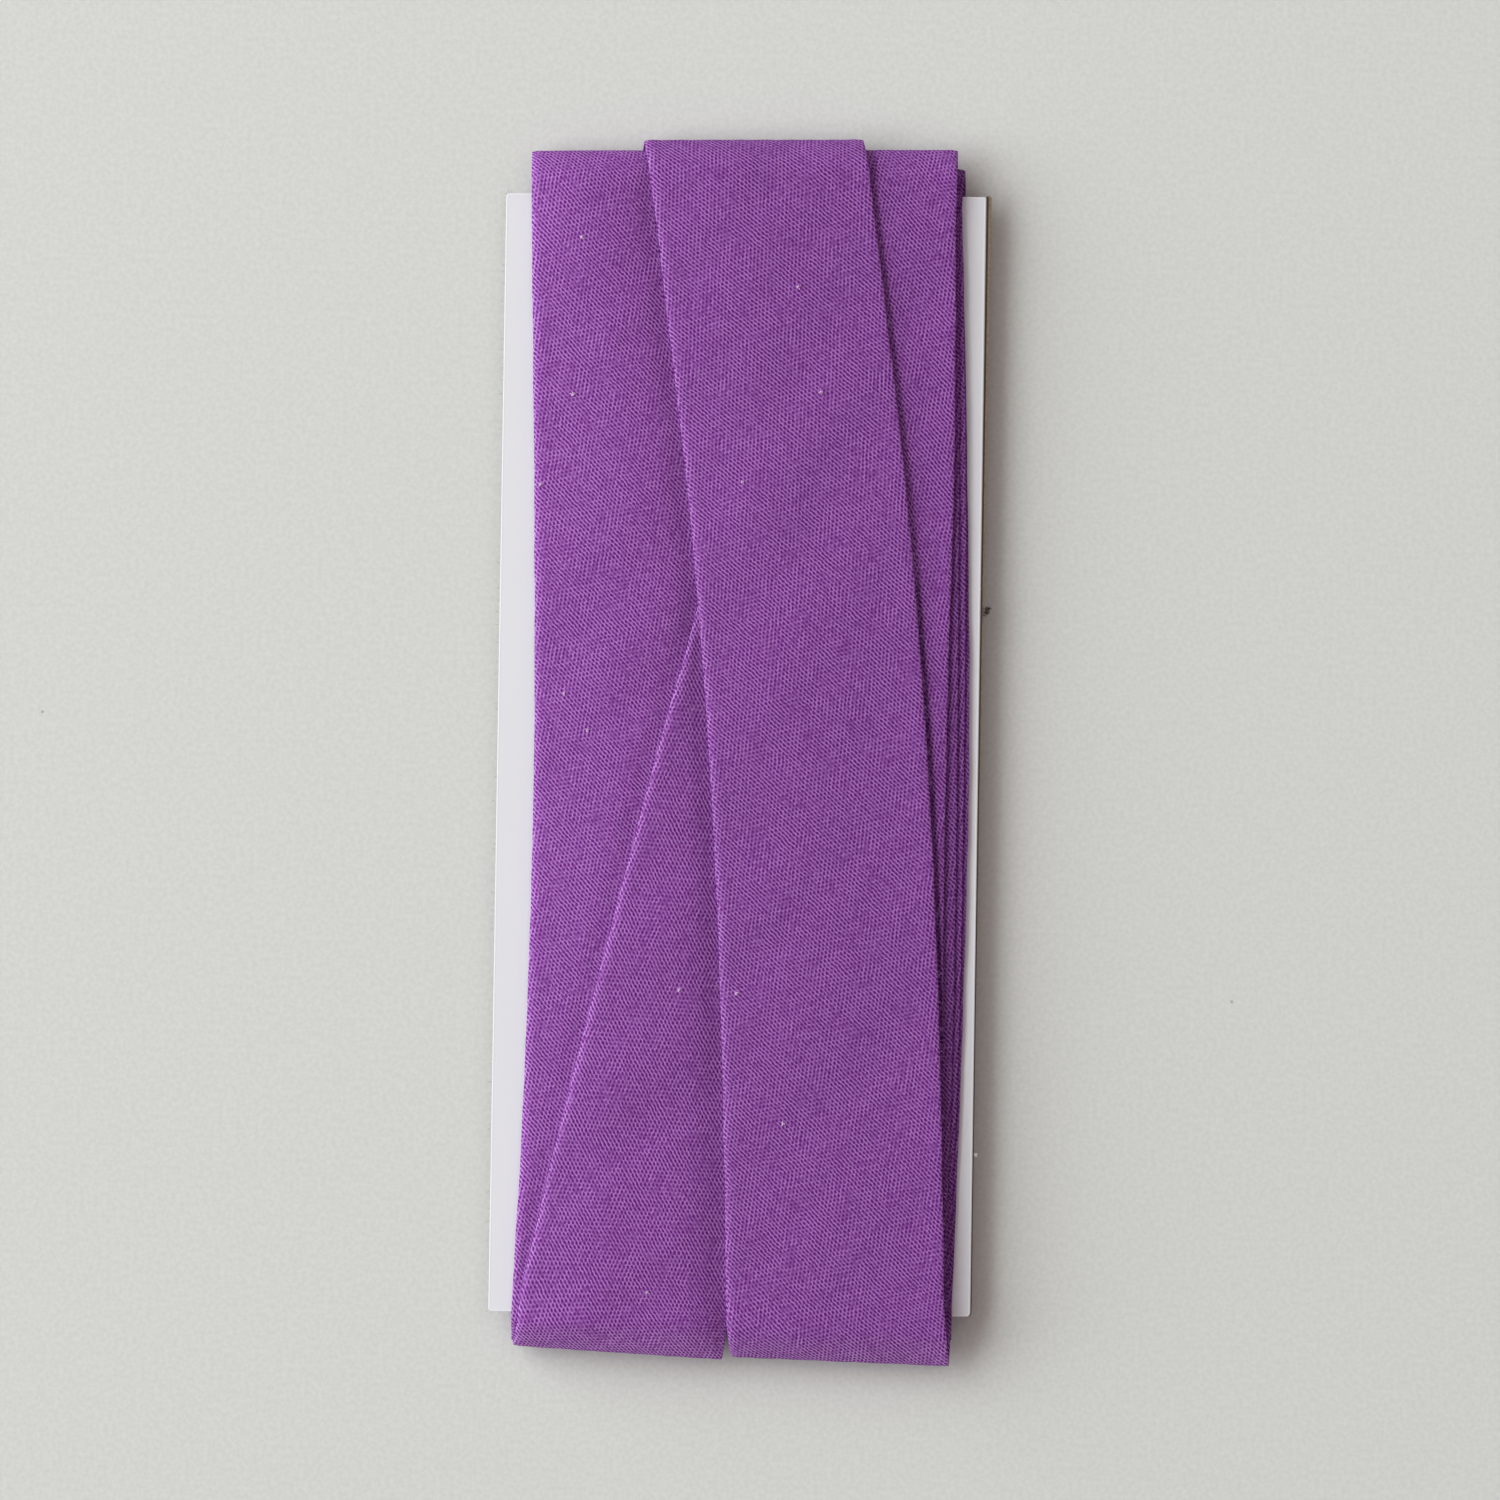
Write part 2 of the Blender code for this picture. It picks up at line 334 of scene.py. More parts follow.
def makeBoard():
    material, graph, shader = newMaterial("whiteLinedBoard", {
        "Specular IOR Level": 0.35,
    })
    place = graph.node("ShaderNodeTexCoord", None, None, out=3)
    height = graph.node("ShaderNodeSeparateXYZ", None, {0: place}, out=2)
    fibres = noise(graph, place, card["fibreScale"], 3.0)
    cloud = noise(graph, place, card["cloudScale"], 2.0)
    underLiner, underShadowBand = cardFace - card["liner"], cardFace - card["dark"]
    onFace = height.rise((underLiner - 0.02) * mm, underLiner * mm)
    onShadowBand = height.rise((underShadowBand - 0.06) * mm, underShadowBand * mm)
    onBack = 1.0 - height.rise((cardBack + 0.03) * mm, (cardBack + 0.05) * mm)
    onBurrHighlight = height.rise((cardFace + 0.004) * mm, (cardFace + 0.012) * mm)
    core = mixColour(graph, fibres.rise(0.25, 0.75), *card["coreColours"])
    # painted shadow: a dark band under the white face, where its edge shades the ply below
    core = mixColour(graph, onShadowBand, core, card["paintedShadowColour"])
    grey = mixColour(graph, fibres.rise(0.35, 0.65), *card["backColours"])
    core = mixColour(graph, onBack, core, grey)
    white = mixColour(graph, cloud, card["faceColour"], card["cloudColour"])
    # painted highlight: a lighter line along the raised cut edge
    white = mixColour(graph, onBurrHighlight, white, card["burrHighlightColour"])
    colour = mixColour(graph, onFace, core, white)
    bump = graph.node("ShaderNodeBump", None, {
        "Strength": 0.25, "Distance": 0.04 * mm, "Height": fibres,
    })
    plug(
        graph, shader, Base_Color=colour,
        Roughness=onFace.blend(0.9, 0.55), Normal=bump,
    )
    return material


# The wound strip: where each turn lies

binding = {
    "layer": 0.42,                     # thickness of one folded turn
    "bend": 3.3,                       # how far back from its crest a turn curls
    "clearEnd": 0.2,                   # least gap from the board's end to a bend
    "bluntness": 1.5,                  # 1 for round bends, 2 for pointed ones
    "startAt": -60.0,
    "tailEnd": -56.0,
    "tailAt": ((40.0, 1.3), (0.0, 1.0), (-50.0, 0.6)),   # the tail's middle, going down
    "backSway": 0.15,                  # how far legs on the back lie to either side
    "seed": 11,
    "wobble": (0.05, 11.0),            # waviness of the folded edges, and its wave
    "ripple": (0.035, 17.0),           # waviness of the faces, and its wave
    "puff": (0.03, 0.9, 0.55),         # swelling beside a fold: height, place and width
    "roundness": 0.30,                 # how far in a fold's rounding reaches
    "crispness": 0.34,                 # how much of that the right folds have
    "pucker": 0.05,                    # height of the small puckers
    "puckerSize": 2.2,
    "heel": (0.12, 0.10),              # rounding of a fold's under side: width, height
    "edgesApart": 1.4,                 # gap between the two turned-under edges
    "endRows": 0.4,                    # spacing of rows in the bends, as a share
}

# Heights here are in turns above the board's face, and places in millimetres.
lying = {
    "fieldStep": (0.1, 0.5),           # spacing of the height field, across and along
    "blur": (0.2, 2.5),                # how far the field is softened
    "climb": 2.8,                      # how far the left lane rises to the right
    "climbRun": (6, 11),               # least and greatest width that this takes
    "stackFrom": (-5, 8),              # where the rise to the right stack starts, its width
    "diagonalFoot": 1.2,               # height of the diagonal turn before that rise
    "crossLift": (0.25, 8),            # rise of the turn that crosses, and over what width
    "crossTop": 4.5,                   # and its height on the stack
    "priorDrop": (0.6, 0.65, 8, 14),   # at once, and to the right from 8 over 14
    "lastStart": 1.5,                  # how far the last turn's edge lies over what it meets
    "lastClimb": 12,                   # width of its climb to the stack
    "lastDrop": (0.1, 13),             # and its fall after that, and over what width
    "press": 1.2,                      # how far the last turn's edge sinks what it lies on
    "pressReach": (7, 12),             # to its left and right
    "crease": (1.35, 1.2),             # and the crease beside it, with more near the bottom
    "creaseReach": 2.2,
    "creaseLow": (-57, 7),             # where that starts, going down, and over how far
    "tuck": (1.3, 1.1),                # depth and width of the crease at the crossing edge
    "tuckBelow": 17,                   # how far up that goes
    "gutter": ({"flat": 0.4, "prior": 2.3}, 0.3),     # dip beside a fold, and its width
}

# Each turn of the front in the order of winding. "level" is how many turns high its face
# lies, and "back" the height of the leg that follows. "at" is its right edge for a flat
# turn, its middle for the last two and its left edge for others, at even stations from
# bottom to top. "bottom" and "top" are how far past the board's middle it reaches there,
# and how much that grows across it. "swing" shifts its two bends to the right.
turnParts = ("kind", "level", "width", "back", "at", "bottom", "top", "swing")
frontTurns = [dict(zip(turnParts, row)) for row in (
    ("flat", 0.85, 24.4, 2.52, (25.3, 26.0, 26.2, 25.6, 24.8),
     (66.3, 0.02), (66.2, 0.01), (0, 0)),
    ("flat", 1.55, 24.4, 2.10, (25.6, 26.3, 26.6, 25.9, 24.8),
     (67.0, 0.02), (67.7, 0.01), (0.0, 0.3)),
    ("flat", 2.35, 24.4, 1.68, (25.0, 25.9, 26.0, 25.7, 24.8),
     (67.7, 0.02), (67.3, 0.01), (0, 0)),
    ("flat", 3.25, 24.4, 1.26, (24.6, 25.2, 25.2, 24.9, 24.4),
     (68.4, 0.02), (67.8, 0.01), (0, 0)),
    ("diagonal", 4, 24.4, 2.31, (0.2, -0.8, -4.2, -10.8, -18.7),
     (68.9, 0.02), (67.2, 0.01), (0, 0)),
    ("lane", 1, 24.4, 1.68, (-24.6, -23.4, -23.0, -23.5, -24.3),
     (66.6, 0.02), (67.9, 0.01), (0, 0)),
    ("lane", 2, 24.4, 1.05, (-24.8, -23.6, -23.2, -23.8, -24.5),
     (67.4, 0.02), (68.7, 0.01), (0, 0)),
    ("lane", 3, 24.5, 0.42, (-25.1, -24.4, -23.9, -23.6, -23.5, -23.7, -24.0, -24.4, -24.8),
     (68.3, 0.03), (69.45, 0.02), (0.0, -0.05)),
    ("cross", 4, 24.0, 0.84, (-24.35, -20.95, -17.2, -13.3, -9.35, -5.15, -2.0, -0.9, -0.8),
     (69.2, 0.051), (69.3, 0.02), (-0.75, 0.0)),
    ("prior", 6, 24.5, 0.42, (11.85, 11.8, 11.8, 11.65, 11.7, 11.85, 12.1, 12.0, 11.85),
     (69.3, 0.025), (69.85, 0.02), (0.55, 0.15)),
    ("last", 7, 25.05, 0.0, (12.2, 11.7, 11.1, 10.3, 9.2, 7.8, 6.1, 4.0, 1.85),
     (69.78, 0.027), (70.9, 0.016), (0.6, -1.2)),
)]

stationEnd = 64.0                      # the outermost stations, near the board's ends


def turnMiddle(turn, y):
    # the middle line of a front turn, from whichever line is given
    at = np.array(turn["at"], float)
    places = np.linspace(-stationEnd, stationEnd, len(at))
    line = smooth(places, at, y)
    half = turn["width"] / 2 * np.sqrt(1 + np.square(np.gradient(line, y)))
    sign = {"flat": -1, "prior": 0, "last": 0}.get(turn["kind"], 1)
    return line + sign * half, half


def smooth(places, values, wanted):
    # a curve through the values that never swings past them much
    places = np.asarray(places, float)
    values = np.asarray(values, float)
    slopes = np.gradient(values, places)
    wanted = np.clip(wanted, places[0], places[-1])
    cell = np.clip(np.searchsorted(places, wanted, side="right") - 1, 0, len(places) - 2)
    span = places[cell + 1] - places[cell]
    t = (wanted - places[cell]) / span
    return (
        (2 * t**3 - 3 * t**2 + 1) * values[cell]
        + (t**3 - 2 * t**2 + t) * span * slopes[cell]
        + (3 * t**2 - 2 * t**3) * values[cell + 1]
        + (t**3 - t**2) * span * slopes[cell + 1]
    )


def ease(share):
    share = np.clip(share, 0, 1)
    return share * share * (3 - 2 * share)


def soften(field, spread, axis):
    # a Gaussian blur along one axis, with the field's rim carried on
    reach = max(int(3 * spread), 1)
    taps = np.exp(-0.5 * (np.arange(-reach, reach + 1) / spread) ** 2)
    pad = [(0, 0), (0, 0)]
    pad[axis] = (reach, reach)
    padded = np.pad(field, pad, mode="edge")
    total = np.zeros_like(field)
    size = field.shape[axis]
    for shift, tap in enumerate(taps / taps.sum()):
        total += tap * np.take(padded, range(shift, shift + size), axis=axis)
    return total


def layFront():
    # each turn's top face as a height field. The left lane climbs on to the turn that
    # crosses beneath it, and the last turn's left edge presses down what it lies on.
    stepX, stepY = lying["fieldStep"]
    x = np.arange(-30, 30 + stepX / 2, stepX)[None, :]
    y = np.arange(-stationEnd, stationEnd + stepY / 2, stepY)
    left, rights = {}, []
    for turn in frontTurns:
        middle, half = turnMiddle(turn, y)
        left[turn["kind"]] = (middle - half)[:, None]
        if turn["kind"] in ("flat", "prior", "last"):
            rights.append((middle + half)[:, None])
    rights.pop(0)

    before = left["last"] - x          # how far left of the last turn's edge
    reachLeft, reachRight = lying["pressReach"]
    creaseFrom, creaseRun = lying["creaseLow"]
    crease, more = lying["crease"]
    crease = crease * (1 + more * ease((creaseFrom - y) / creaseRun))[:, None]
    press = 0
    for depth, reach in ((lying["press"], reachLeft), (crease, lying["creaseReach"])):
        away = np.where(before > 0, before / reach, -before / reachRight)
        press = press + depth * np.clip(1 - away, 0, 1) ** 2
    depth, width = lying["tuck"]
    tuck = depth * np.clip(1 - np.abs(left["cross"] - x - 0.1) / width, 0, 1)
    tuck = tuck * (y < lying["tuckBelow"])[:, None]

    climb = np.clip(left["diagonal"] - left["lane"], *lying["climbRun"])
    lane = lying["climb"] * ease((x - left["lane"]) / climb * 0.5 + 0.5) * 2 - lying["climb"]
    stackFrom, stackRun = lying["stackFrom"]
    toStack = ease((x - stackFrom) / stackRun)
    depths, width = lying["gutter"]
    faces = []
    for turn in frontTurns:
        level = turn["level"]
        if turn["kind"] == "flat":
            field = level + 0 * before
        elif turn["kind"] == "diagonal":
            foot = lying["diagonalFoot"]
            field = foot + (level - foot) * toStack + 0 * before
        elif turn["kind"] == "lane":
            field = level + lane - press * level / 3
            laneFace = field
            if level == 3:
                field = field - tuck
        elif turn["kind"] == "cross":
            lift, run = lying["crossLift"]
            over = laneFace + 1 + lift * ease((x - left["cross"]) / run)
            field = over + (lying["crossTop"] - over) * toStack
            crossFace = field
        elif turn["kind"] == "prior":
            atOnce, drop, dropFrom, run = lying["priorDrop"]
            field = level - atOnce - drop * ease((x - dropFrom) / run)
        else:
            below = np.where(x > left["cross"], crossFace, laneFace)
            edge = np.argmin(np.abs(before), axis=1)
            start = below[np.arange(len(y)), edge][:, None] + lying["lastStart"]
            climb = lying["lastClimb"]
            drop, run = lying["lastDrop"]
            climbOn = ease(-before / climb * 0.5 + 0.5) * 2 - 1
            field = start + (level - start) * climbOn - drop * ease((-before - climb) / run)
        blurX, blurY = lying["blur"]
        field = soften(soften(field, blurX / stepX, 1), blurY / stepY, 0)
        if turn["kind"] in ("flat", "prior"):
            edge = rights.pop(0)       # of the next turn that shows on the right
            field = field - depths[turn["kind"]] * np.exp(-(((x - edge - 0.03) / width) ** 2))
        faces.append(cardFace + binding["layer"] * field)
    return x[0], y, faces


def sampleField(field, x, y, atX, atY):
    column = np.clip((atX - x[0]) / (x[1] - x[0]), 0, len(x) - 1.001)
    row = np.clip((atY - y[0]) / (y[1] - y[0]), 0, len(y) - 1.001)
    i, j = row.astype(int), column.astype(int)
    v, u = row - i, column - j
    return (
        field[i, j] * (1 - u) * (1 - v) + field[i, j + 1] * u * (1 - v)
        + field[i + 1, j] * (1 - u) * v + field[i + 1, j + 1] * u * v
    )


def waves(seed, a, b, wave):
    # smooth uneven relief between about -1 and 1, the same on each run
    draw = np.random.default_rng(seed)
    total = np.zeros(np.broadcast(a, b).shape)
    for size in (1.0, 0.6, 0.37):
        for turn in draw.uniform(0, 2 * math.pi, 3):
            phase = draw.uniform(0, 2 * math.pi)
            run = a * math.cos(turn) + b * math.sin(turn)
            total += size * np.sin(run * 2 * math.pi / (wave * size) + phase)
    return total / 4.5


def bendShape(depth, rise):
    # the profile of a bend, blunter than a half circle: its length, and the angle
    # reached at each share of that length
    turn = np.linspace(0, math.pi, 121)
    y = depth * np.abs(np.sin(turn)) ** binding["bluntness"]
    z = rise * np.sign(np.cos(turn)) * np.abs(np.cos(turn)) ** binding["bluntness"]
    run = np.concatenate([[0], np.cumsum(np.hypot(np.diff(y), np.diff(z)))])
    return run[-1], run / run[-1], turn


def straightTo(turn, end):
    # how far from the board's middle a turn runs straight at its bottom or its top
    reach = turn[end][0]
    return reach - min(binding["bend"], reach - cardHalf - binding["clearEnd"])


def planPath(fieldX, fieldY, faces):
    # the strip unrolled: legs on the two faces of the board, and bends between them
    zones, places, middles = [], [], []
    stations = np.linspace(-stationEnd, stationEnd, 17)

    def addBend(run, k, side, back):
        # round the top end where side is 1, and the bottom end where it is -1
        turn = frontTurns[k]
        end, index = ("top", -1) if side > 0 else ("bottom", 0)
        reach, grow = turn[end]
        straight = straightTo(turn, end)
        middle = turnMiddle(turn, stations)[0][index]
        face = sampleField(
            faces[k], fieldX, fieldY, np.array([middle]), np.array([side * stationEnd]))[0]
        arc, shares, angles = bendShape(reach - straight, (face - back) / 2)
        places.append(run + arc / 2)
        middles.append(middle + turn["swing"][index])
        zones.append({
            "kind": "bend", "end": side, "from": run, "long": arc, "front": k,
            "shares": shares, "angles": angles, "back": back, "straight": straight,
            "reach": reach, "grow": grow, "middle": middle,
        })
        return run + arc

    run = 0.0
    for k, turn in enumerate(frontTurns):
        startY = binding["startAt"] if k == 0 else -straightTo(turn, "bottom")
        topY = straightTo(turn, "top")
        zones.append({"kind": "front", "turn": k, "from": run, "y": startY})
        along = turnMiddle(turn, stations)[0]
        for place, middle in zip(stations, along):
            if place >= startY:
                places.append(run + place - startY)
                middles.append(middle)
        run = addBend(run + topY - startY, k, 1, turn["back"])
        zones.append({"kind": "back", "from": run, "y": topY, "level": turn["back"]})
        if k == len(frontTurns) - 1:
            for place, middle in binding["tailAt"]:
                places.append(run + topY - place)
                middles.append(middle)
            run += topY - binding["tailEnd"]
            break
        following = frontTurns[k + 1]
        leg = topY + straightTo(following, "bottom")
        last, ahead = along[-1], turnMiddle(following, stations)[0][0]
        for share in (0.25, 0.5, 0.75):
            places.append(run + leg * share)
            middles.append(last + (ahead - last) * share + binding["backSway"] * (-1) ** k)
        run = addBend(run + leg, k + 1, -1, turn["back"])
    return zones, np.array(places), np.array(middles), run


print("laying the turns over one another")
fieldX, fieldY, faceFields = layFront()
zones, pathPlaces, pathMiddles, pathLength = planPath(fieldX, fieldY, faceFields)
zoneStarts = np.array([zone["from"] for zone in zones])
print(f"strip of {pathLength / 1000:.2f} m, highest face {faceFields[-1].max():.2f} mm")


def zoneAt(run):
    return np.clip(np.searchsorted(zoneStarts, run, side="right") - 1, 0, len(zones) - 1)


def wrap(atX, run):
    # points of the strip's outer face in space, the way out of it, and how far the
    # strip has gone round an end
    points = np.zeros(atX.shape + (3,))
    normals = np.zeros(atX.shape + (3,))
    bending = np.zeros(atX.shape)
    where = zoneAt(run)
    ripple, wave = binding["ripple"]
    relief = waves(binding["seed"], atX, run, wave) * ripple
    for index in np.unique(where):
        zone = zones[index]
        here = where == index
        x, along = atX[here], run[here] - zone["from"]
        place = np.zeros((len(x), 3))
        out = np.zeros((len(x), 3))
        place[:, 0] = x
        if zone["kind"] == "front":
            y = zone["y"] + along
            place[:, 1] = y
            place[:, 2] = sampleField(faceFields[zone["turn"]], fieldX, fieldY, x, y)
            place[:, 2] += relief[here]
            out[:, 2] = 1
        elif zone["kind"] == "back":
            place[:, 1] = zone["y"] - along
            place[:, 2] = zone["level"]
            out[:, 2] = -1
        else:
            turn = np.interp(along / zone["long"], zone["shares"], zone["angles"])
            edge = np.full(len(x), zone["end"] * stationEnd)
            top = sampleField(faceFields[zone["front"]], fieldX, fieldY, x, edge)
            top += relief[here] * (1 + zone["end"] * np.cos(turn)) / 2
            middle, half = (top + zone["back"]) / 2, (top - zone["back"]) / 2
            depth = zone["reach"] - zone["straight"] + zone["grow"] * (x - zone["middle"])
            side, blunt = zone["end"], binding["bluntness"]
            sine, cosine = np.abs(np.sin(turn)), np.abs(np.cos(turn))
            up = np.sign(np.cos(turn))
            place[:, 1] = side * (zone["straight"] + depth * sine**blunt)
            place[:, 2] = middle + side * half * up * cosine**blunt
            out[:, 1] = side * sine ** (2 - blunt) / depth
            out[:, 2] = side * up * cosine ** (2 - blunt) / half
            out /= np.linalg.norm(out, axis=1)[:, None]
            bending[here] = sine
        points[here] = place
        normals[here] = out
    points[..., 1] += cardPlace
    return points, normals, bending


def crossSection(width, gap, folded):
    # a closed outline round the folded strip: place across, depth, and place on the
    # cloth. Folded shows the turned-under edges, where a cut end lets them be seen.
    thick = binding["layer"]
    half = width / 2
    rim = [0.0, 0.012, 0.05, 0.12, 0.22, 0.35, 0.52, 0.75, 1.05, 1.5]

    def stepsAt(gap):
        inner = np.linspace(rim[-1], width - rim[-1], max(int((width - 2 * rim[-1]) / gap), 3))
        return rim[:-1] + list(inner) + [width - r for r in rim[:-1][::-1]]

    steps, under = stepsAt(gap), stepsAt(max(gap, 0.9))

    def puff(step):
        height, place, spread = binding["puff"]
        near = min(step, width - step)
        return -height * math.exp(-(((near - place) / spread) ** 2))

    def heel(step):
        wide, high = binding["heel"]
        near = min(step, width - step, wide)
        return thick - high * (1 - math.sqrt(1 - (1 - near / wide) ** 2))

    across = [step - half for step in steps]
    depth = [puff(step) for step in steps]
    onCloth = list(across)
    meet = binding["edgesApart"] / 2 if folded else 0.0
    for step in under[-2:0:-1]:
        if folded and abs(step - half) < meet:
            continue
        across.append(step - half)
        depth.append(heel(step))
        onCloth.append(width - step + half if step > half else -step - half)
    if folded:
        split = next(i for i in range(len(steps), len(across)) if across[i] < 0)
        ply = thick / 2
        inside = [s for s in under if 0.3 < s < width - 0.3]
        hollow = [(s - half, ply + 0.02) for s in inside if s - half > meet]
        hollow += [(s - half, ply - 0.02) for s in inside[::-1]]
        hollow += [(s - half, ply + 0.02) for s in inside if s - half < -meet]
        across[split:split] = [h[0] for h in hollow]
        depth[split:split] = [h[1] for h in hollow]
        onCloth[split:split] = [h[0] for h in hollow]
    outer = np.arange(len(across)) < len(steps)
    return np.array(across), np.array(depth), np.array(onCloth), outer


def makeFoldTree():
    # draws the swept sheet in by its thickness at each place, rounds it over at both
    # folds, and lets small puckers in
    graph, size = newTree("foldedStrip", {
        "Shoulder": "Float", "Corner": "Float", "Crispness": "Float", "Roundness": "Float",
        "Pucker": "Float", "Pucker Size": "Float", "Material": "Material",
    })

    marks = ("inward", "depth", "bend", "right", "outer")
    inward, depth, bend, right, outer = (stored(graph, mark) for mark in marks)
    crisp = right.blend(1.0, size["Crispness"])
    corner = bend.blend(1.0, size["Corner"])
    rounding = graph.node("ShaderNodeMath", {"operation": "EXPONENT"}, {
        0: inward * -1.0 / (size["Roundness"] * crisp * corner.clamp(1.0, 2.5)),
    })
    rounding = rounding * crisp * size["Shoulder"] * corner * outer
    place = graph.node("GeometryNodeInputPosition")
    pucker = noise(graph, place, 1.0 / size["Pucker Size"], 1.0) - 0.5
    sink = depth + rounding - pucker * size["Pucker"] * outer
    moved = graph.node("GeometryNodeSetPosition", None, {
        "Geometry": size["Geometry"],
        "Offset": scaled(graph, stored(graph, "out", "FLOAT_VECTOR"), sink * -1.0),
    })
    return endTree(graph, moved, size["Material"])


def makeStrip(name, start, finish, width, rowGap, columnGap, folded):
    # one length of the strip, swept along the path between two places on it
    rows = [start]
    while rows[-1] < finish:
        inBend = zones[zoneAt(rows[-1])]["kind"] == "bend"
        rows.append(rows[-1] + (rowGap * binding["endRows"] if inBend else rowGap))
    rows[-1] = finish
    run = np.array(rows)
    middle = smooth(pathPlaces, pathMiddles, run)
    ahead = smooth(pathPlaces, pathMiddles, run + 0.5)
    behind = smooth(pathPlaces, pathMiddles, run - 0.5)
    slant = np.arctan(ahead - behind)
    across, depth, onCloth, outer = crossSection(width, columnGap, folded)
    wobble, wave = binding["wobble"]
    wobble = waves(binding["seed"], run, run * 0, wave) * wobble
    wide = 1 + wobble / (width / 2)
    u = across[None, :] * wide[:, None]
    atX = middle[:, None] + u * np.cos(slant)[:, None]
    atRun = run[:, None] - u * np.sin(slant)[:, None]
    points, normals, bending = wrap(atX, atRun)
    points *= mm

    rowCount, count = atX.shape
    index = np.arange(rowCount * count).reshape(rowCount, count)
    nextColumn = np.roll(index, -1, axis=1)
    faces = np.stack([index[:-1], nextColumn[:-1], nextColumn[1:], index[1:]], axis=-1)
    faces = [tuple(face) for face in faces.reshape(-1, 4).tolist()]
    faces.append(tuple(index[0][::-1].tolist()))
    faces.append(tuple(index[-1].tolist()))
    mesh = bpy.data.meshes.new(name)
    mesh.from_pydata(points.reshape(-1, 3).tolist(), [], faces)

    nextCloth = np.roll(onCloth, -1)
    jump = np.abs(nextCloth - onCloth) > 6.0
    nextCloth = np.where(jump, onCloth + np.abs(np.roll(across, -1) - across), nextCloth)
    coords = np.zeros((rowCount - 1, count, 4, 2))
    coords[..., 0, 0] = coords[..., 3, 0] = onCloth[None, :]
    coords[..., 1, 0] = coords[..., 2, 0] = nextCloth[None, :]
    coords[..., 0, 1] = coords[..., 1, 1] = run[:-1, None]
    coords[..., 2, 1] = coords[..., 3, 1] = run[1:, None]
    caps = [(onCloth[i], 0.0) for i in range(count)][::-1] + [(c, 0.4) for c in onCloth]
    flat = np.concatenate([coords.reshape(-1, 2), np.array(caps)]) * mm
    # painted highlight along the left fold, where the key light falls, partly rubbed colour,
    # and painted light round each end, most at the bottom
    fromFold = (width / 2 + across) / cloth["foldHighlightReach"]
    highlightAndWear = cloth["foldHighlightAndWear"] * np.exp(-(fromFold ** 1.5)) * outer
    bottomCrestLight, topCrestLight = cloth["crestPaintedLight"]
    highlightAndWear = highlightAndWear[None, :] + np.where(points[..., 1] < 0, bottomCrestLight, topCrestLight) * bending
    whole = np.ones(atX.shape)
    marks = {
        "highlightAndWear": highlightAndWear, "bend": bending, "outer": outer * whole, "right": (across > 0) * whole,
        "inward": (width / 2 - np.abs(across)) * mm * whole, "depth": depth * mm * whole,
    }
    for mark, values in marks.items():
        held = mesh.attributes.new(mark, "FLOAT", "POINT")
        held.data.foreach_set("value", values.astype(np.float32).ravel())
    outwards = mesh.attributes.new("out", "FLOAT_VECTOR", "POINT")
    outwards.data.foreach_set("vector", normals.astype(np.float32).ravel())
    layer = mesh.uv_layers.new(name="strip")
    layer.data.foreach_set("uv", flat.astype(np.float32).ravel())
    mesh.shade_smooth()
    return addObject(name, mesh)


print("winding the strip")
foldTree = makeFoldTree()
# Its lengths part in the middle of the back, where the next turn lies over the joint.
# Columns: name, turns up to that joint, width, gaps between rows and between columns,
# shoulder, corner and painted brightness. A corner above 1 rounds a fold off more round an
# end.
# The painted brightness lightens the lane's cloth and darkens the turns under, as painted
# light and shadow.
lengths = (
    ("turns_under", 7, 24.4, 1.4, 2.0, 0.16, 3.5, 0.80),
    ("turn_lane", 8, 24.5, 0.8, 0.9, 0.30, 0.4, 1.115),
    ("turn_cross", 9, 24.0, 0.8, 0.9, 0.30, 0.4, 1.06),
    ("turn_prior", 10, 24.5, 0.8, 0.3, 0.24, 2.2, 1.0),
    ("turn_last", 11, 25.05, 0.8, 0.9, 0.30, 0.6, 1.0),
)
back = [zone["from"] for zone in zones if zone["kind"] == "back"]
turns = []
finish = 0.0
for name, upTo, width, rowGap, columnGap, shoulder, corner, paintedBrightness in lengths:
    isLast = upTo == len(frontTurns)
    start = finish
    finish = pathLength if isLast else back[upTo - 1] + stationEnd
    piece = makeStrip(name, start, finish, width, rowGap, columnGap, isLast)
    growPiece(piece, foldTree, {
        "Shoulder": shoulder * mm, "Corner": corner,
        "Crispness": binding["crispness"], "Roundness": binding["roundness"] * mm,
        "Pucker": binding["pucker"] * mm, "Pucker Size": binding["puckerSize"] * mm,
        "Material": makeCloth("cotton_" + name, paintedBrightness),
    })
    turns.append(piece)


# The board itself, with its cut edge leaning out towards the top right

def cardOutline():
    # the board's edge as seen from the front, anticlockwise, and the way out of it
    corners = np.array([corner[:2] for corner in card["corners"]])
    ends = []
    for k, (x, y, radius) in enumerate(card["corners"]):
        corner = np.array((x, y))
        before, after = corners[k - 1] - corner, corners[(k + 1) % 4] - corner
        before = corner + radius * before / np.linalg.norm(before)
        after = corner + radius * after / np.linalg.norm(after)
        ends.append([
            (1 - t) ** 2 * before + 2 * t * (1 - t) * corner + t * t * after
            for t in np.linspace(0, 1, 6)
        ])
    outline = []
    for k in range(4):
        outline += ends[k]
        last, following = ends[k][-1], ends[(k + 1) % 4][0]
        count = int(np.linalg.norm(following - last) / card["outlineStep"])
        outline += [last + (following - last) * step / count for step in range(1, count)]
    outline = np.array(outline)
    along = np.roll(outline, -1, axis=0) - np.roll(outline, 1, axis=0)
    along /= np.linalg.norm(along, axis=1)[:, None]
    return outline, np.stack([along[:, 1], -along[:, 0]], axis=1)


